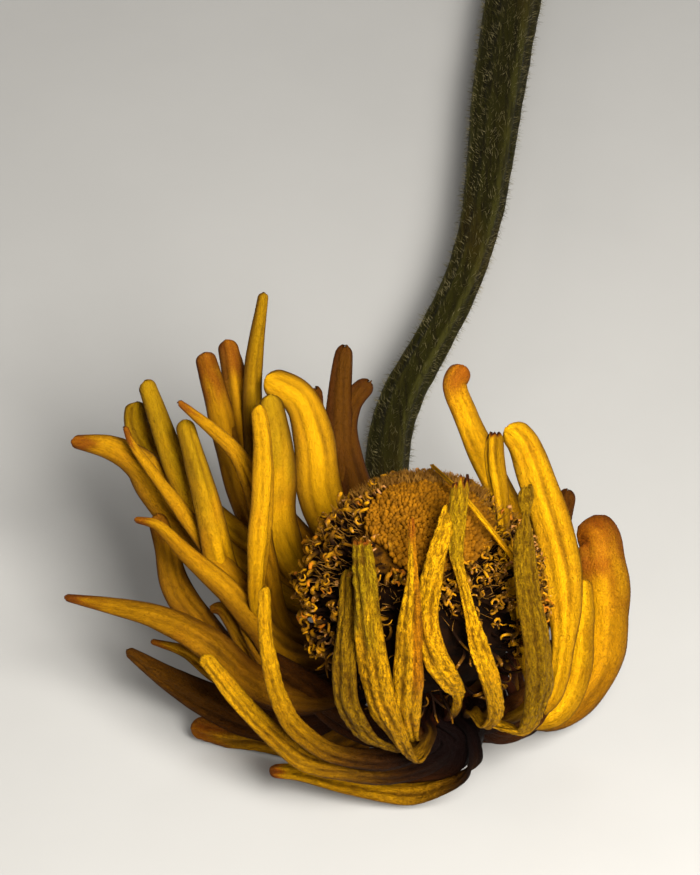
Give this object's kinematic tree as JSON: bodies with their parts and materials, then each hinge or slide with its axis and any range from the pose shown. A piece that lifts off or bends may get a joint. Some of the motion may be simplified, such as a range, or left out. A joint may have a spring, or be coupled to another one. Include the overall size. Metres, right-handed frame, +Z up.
{
  "type": "dried daisy",
  "caption": "Dried daisy flower head with rolled, curled strap petals round a curly floret dome, on a long cut stem, lying on its lowest petals and stem end.",
  "frame": {"origin": "on the surface that the flower lies on, under the middle of its whole box", "axes": "+X to the viewer's right, +Y from the head along the stem, +Z up"},
  "size_m": [0.0567, 0.1463, 0.0414],
  "materials": {
    "stem": "dry ridged olive-brown stalk",
    "calyx": "dry green-brown bracts",
    "petal": "dry matt wrinkled golden petal",
    "disc_floret": "dry matt golden brown",
    "centre_floret": "dry matt ochre"
  },
  "bodies": {
    "root": {"stem": "stem", "calyx": "calyx", "ray_petals": "petal", "disc_florets": "disc_floret", "centre_florets": "centre_floret"}
  },
  "joints": []
}
